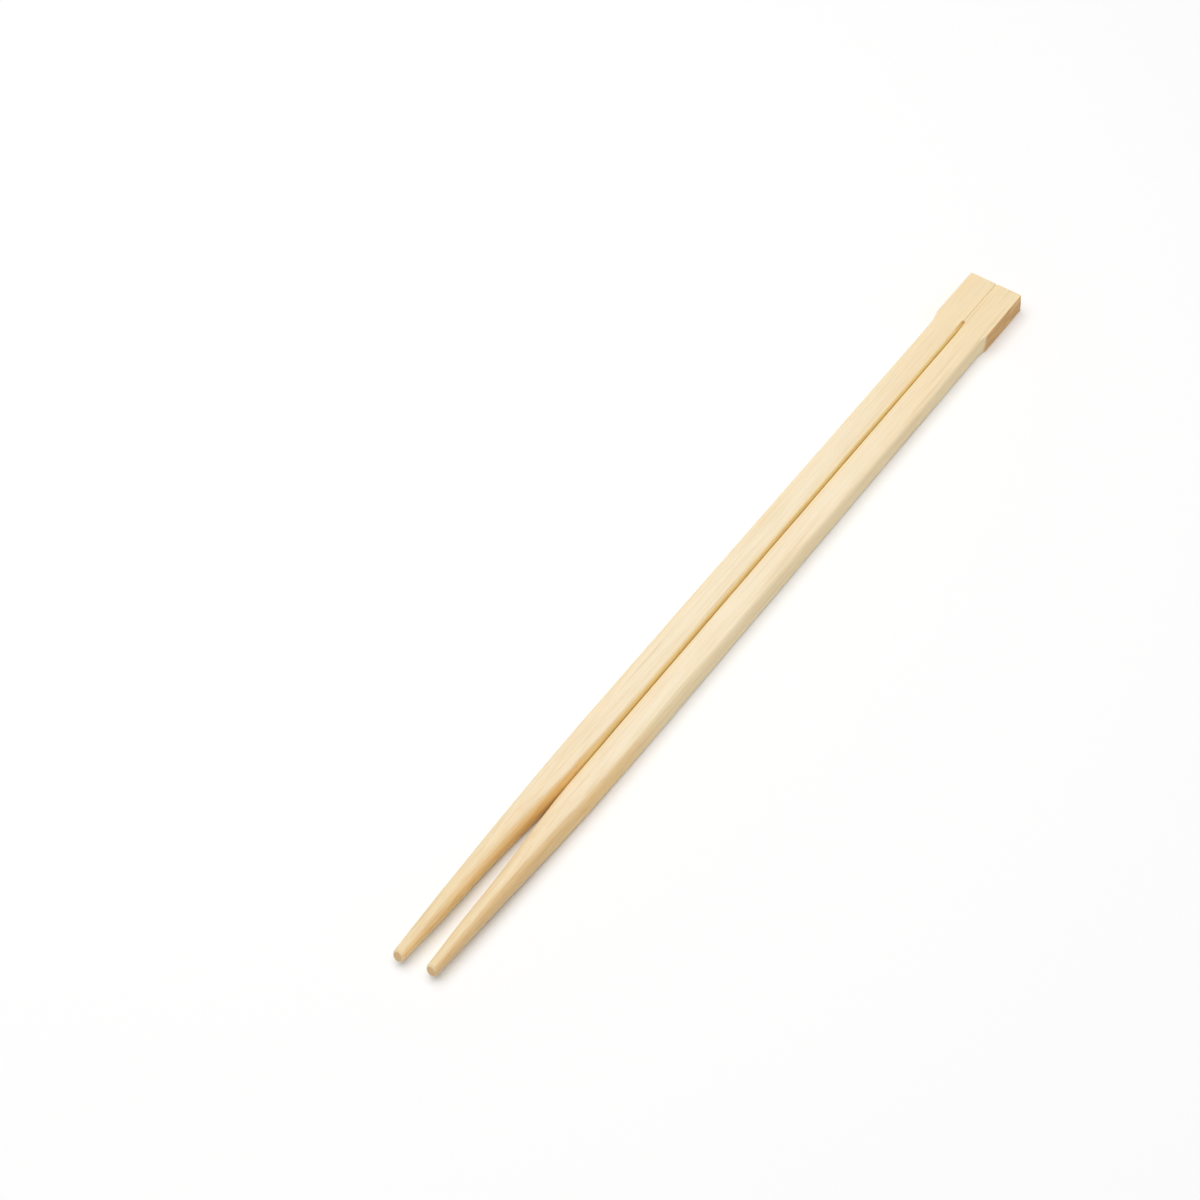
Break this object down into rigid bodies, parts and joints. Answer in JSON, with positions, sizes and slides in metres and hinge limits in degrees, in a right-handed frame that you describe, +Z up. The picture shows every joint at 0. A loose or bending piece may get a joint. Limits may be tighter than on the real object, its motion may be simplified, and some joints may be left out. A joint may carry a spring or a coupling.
{
  "type": "bamboo chopsticks",
  "caption": "Disposable bamboo chopsticks in one piece, joined at a square head with a score line to snap apart, with straight legs that taper to round tips.",
  "frame": {"origin": "centre of the overall box at the face the strip lies on", "axes": "+X along the strip towards the joined head, +Y across the two legs, +Z up from the face it lies on"},
  "size_m": [0.21, 0.013, 0.005],
  "materials": {
    "bamboo": "planed and sanded, uncoated"
  },
  "bodies": {
    "root": {"twin_chopsticks": "bamboo"}
  },
  "joints": []
}
